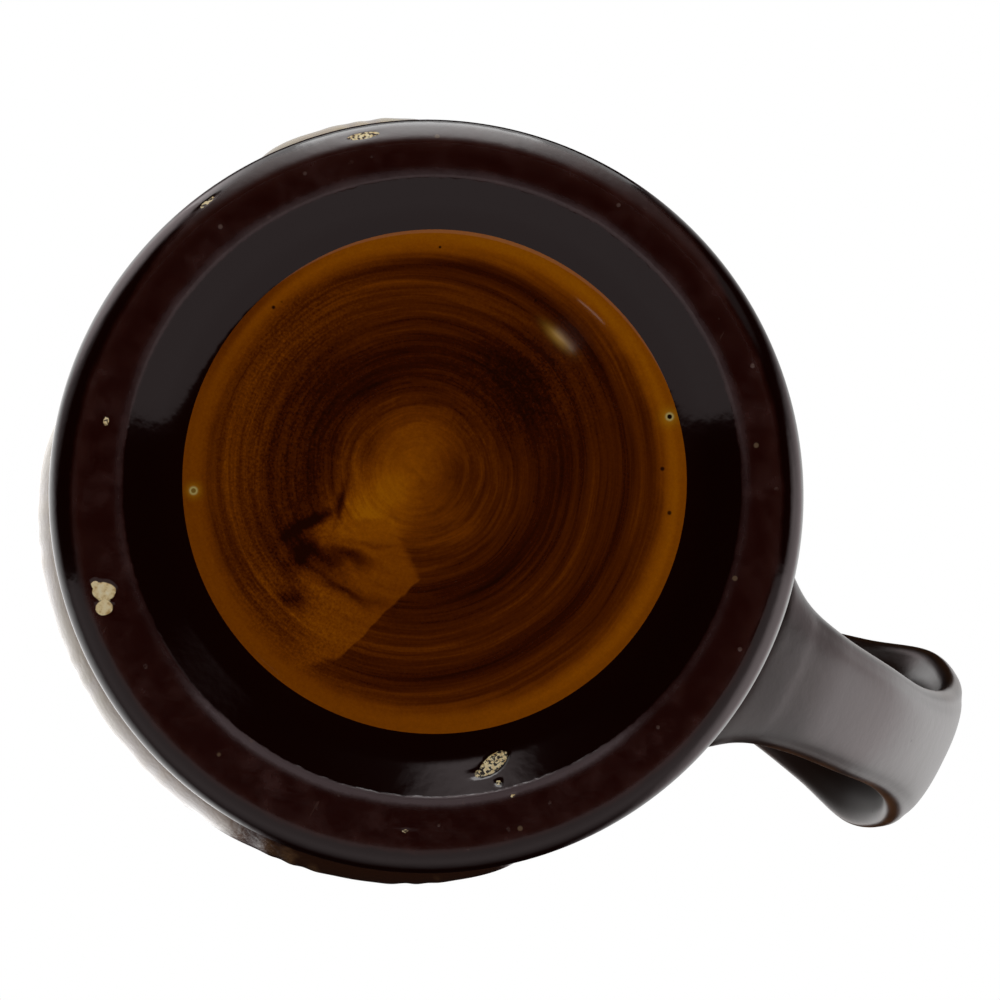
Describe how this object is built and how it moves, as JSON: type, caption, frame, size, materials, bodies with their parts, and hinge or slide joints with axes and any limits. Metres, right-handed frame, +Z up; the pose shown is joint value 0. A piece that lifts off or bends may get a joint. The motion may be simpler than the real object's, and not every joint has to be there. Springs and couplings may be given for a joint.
{
  "type": "stoneware pitcher",
  "caption": "Footed stoneware pitcher with a strap handle, a pulled spout, a recessed underside and a leafy bough raised on each side.",
  "frame": {"origin": "middle of the bounding box on the surface the foot ring stands on", "axes": "+Z up along the turned axis, +X towards the handle, -X towards the spout"},
  "size_m": [0.1711, 0.1252, 0.19],
  "materials": {
    "treacle_glaze": "glossy treacle-brown glaze, tan on the raised leaves, amber inside and under the foot"
  },
  "bodies": {
    "root": {"pitcher": "treacle_glaze"}
  },
  "joints": []
}
